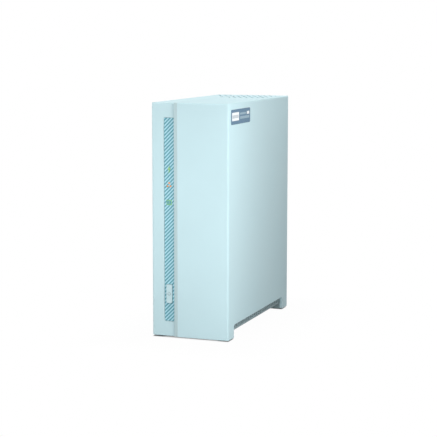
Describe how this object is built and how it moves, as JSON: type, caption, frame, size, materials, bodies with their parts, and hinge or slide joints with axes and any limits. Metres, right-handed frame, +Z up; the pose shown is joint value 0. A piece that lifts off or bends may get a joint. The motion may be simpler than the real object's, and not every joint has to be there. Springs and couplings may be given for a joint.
{
  "type": "network attached storage",
  "caption": "Slim upright network storage tower: sliding side cover over a caged disk drive and a fan, ribbed front strip with power button and lights, sockets on the rear panel.",
  "frame": {"origin": "on the floor, under the middle of the tower's bounding box", "axes": "+Z up, the front faces -Y, the sliding cover is on the +X side"},
  "size_m": [0.066, 0.156, 0.1888],
  "materials": {
    "shell_plastic": "fine satin moulding, pale ice blue",
    "panel_plastic": "satin moulding",
    "tray_plastic": "satin moulding, grey blue",
    "rubber": "dull rubber",
    "strip_plastic": "gloss, diagonal ribs",
    "status_lens": "clear tinted lens",
    "network_lens": "clear tinted lens",
    "activity_lens": "clear tinted lens",
    "button_plastic": "satin moulding",
    "black_plastic": "moulded connector plastic",
    "grey_plastic": "moulded plastic",
    "ivory_plastic": "moulded connector plastic",
    "circuit_board": "solder mask",
    "lamp_resin": "moulded lamp",
    "ribbon_cable": "flat ribbon",
    "chip_resin": "moulded chip",
    "sink_aluminium": "sawn extrusion",
    "can_aluminium": "drawn can",
    "ferrite": "moulded ferrite",
    "cell_steel": "rolled steel",
    "lead_insulation": "wire insulation",
    "tinned_steel": "tinned sheet",
    "tongue_plastic": "moulded tongue",
    "plated_pin": "plated",
    "cage_steel": "galvanised sheet",
    "cast_aluminium": "die casting",
    "lid_steel": "pressed sheet",
    "fan_plastic": "moulded plastic",
    "shaft_steel": "ground steel",
    "bearing_bronze": "sintered sleeve",
    "stator_copper": "windings",
    "label_film": "printed film",
    "screw_steel": "plated screw"
  },
  "bodies": {
    "chassis": {"left_shell": "shell_plastic", "rear_panel": "panel_plastic", "bottom_tray": "tray_plastic", "rubber_feet": "rubber", "front_strip": "strip_plastic", "status_light": "status_lens", "network_light": "network_lens", "activity_light": "activity_lens", "power_switch": "black_plastic", "front_board": "circuit_board", "indicator_leds": "lamp_resin", "front_header": "ivory_plastic", "panel_ribbon": "ribbon_cable", "panel_header": "ivory_plastic", "main_board": "circuit_board", "processor": "chip_resin", "heat_sink": "sink_aluminium", "memory_chips": "chip_resin", "flash_chip": "chip_resin", "capacitors": "can_aluminium", "inductors": "ferrite", "cell_holder": "black_plastic", "coin_cell": "cell_steel", "buzzer": "black_plastic", "fan_header": "ivory_plastic", "fan_plug": "ivory_plastic", "fan_lead": "lead_insulation", "lan_port": "tinned_steel", "usb_shells": "tinned_steel", "usb_tongues": "tongue_plastic", "dc_jack": "black_plastic", "dc_jack_pin": "plated_pin", "reset_switch": "black_plastic", "link_socket": "black_plastic", "backplane_board": "circuit_board", "sata_socket": "black_plastic", "drive_cage": "cage_steel", "drive_grommets": "rubber", "drive_casting": "cast_aluminium", "drive_lid": "lid_steel", "drive_circuit": "circuit_board", "drive_plug": "black_plastic", "fan_frame": "fan_plastic", "fan_bearing": "bearing_bronze", "fan_stator": "stator_copper", "cover_screws": "screw_steel", "panel_screws": "screw_steel", "fan_screws": "screw_steel", "board_screws": "screw_steel", "cage_screws": "screw_steel", "drive_screws": "screw_steel", "tray_screws": "screw_steel"},
    "cover": {"right_cover": "shell_plastic", "side_label": "label_film"},
    "power_button": {"power_button": "button_plastic", "power_switch_plunger": "grey_plastic"},
    "reset_button": {"reset_plunger": "grey_plastic"},
    "fan_rotor": {"fan_rotor": "fan_plastic", "fan_shaft": "shaft_steel"}
  },
  "joints": [
    {"name": "cover_slide", "type": "slide", "parent": "chassis", "child": "cover", "axis": [0, -1, 0], "range_m": [0, 0.165]},
    {"name": "power_press", "type": "slide", "parent": "chassis", "child": "power_button", "axis": [0, 1, 0], "range_m": [0, 0.0007], "stiffness_N_per_m": 2000},
    {"name": "reset_press", "type": "slide", "parent": "chassis", "child": "reset_button", "axis": [0, -1, 0], "range_m": [0, 0.0005], "stiffness_N_per_m": 2000},
    {"name": "fan_spin", "type": "hinge", "parent": "chassis", "child": "fan_rotor", "pos_m": [0, 0.067, 0.146], "axis": [0, 1, 0], "continuous": true}
  ]
}
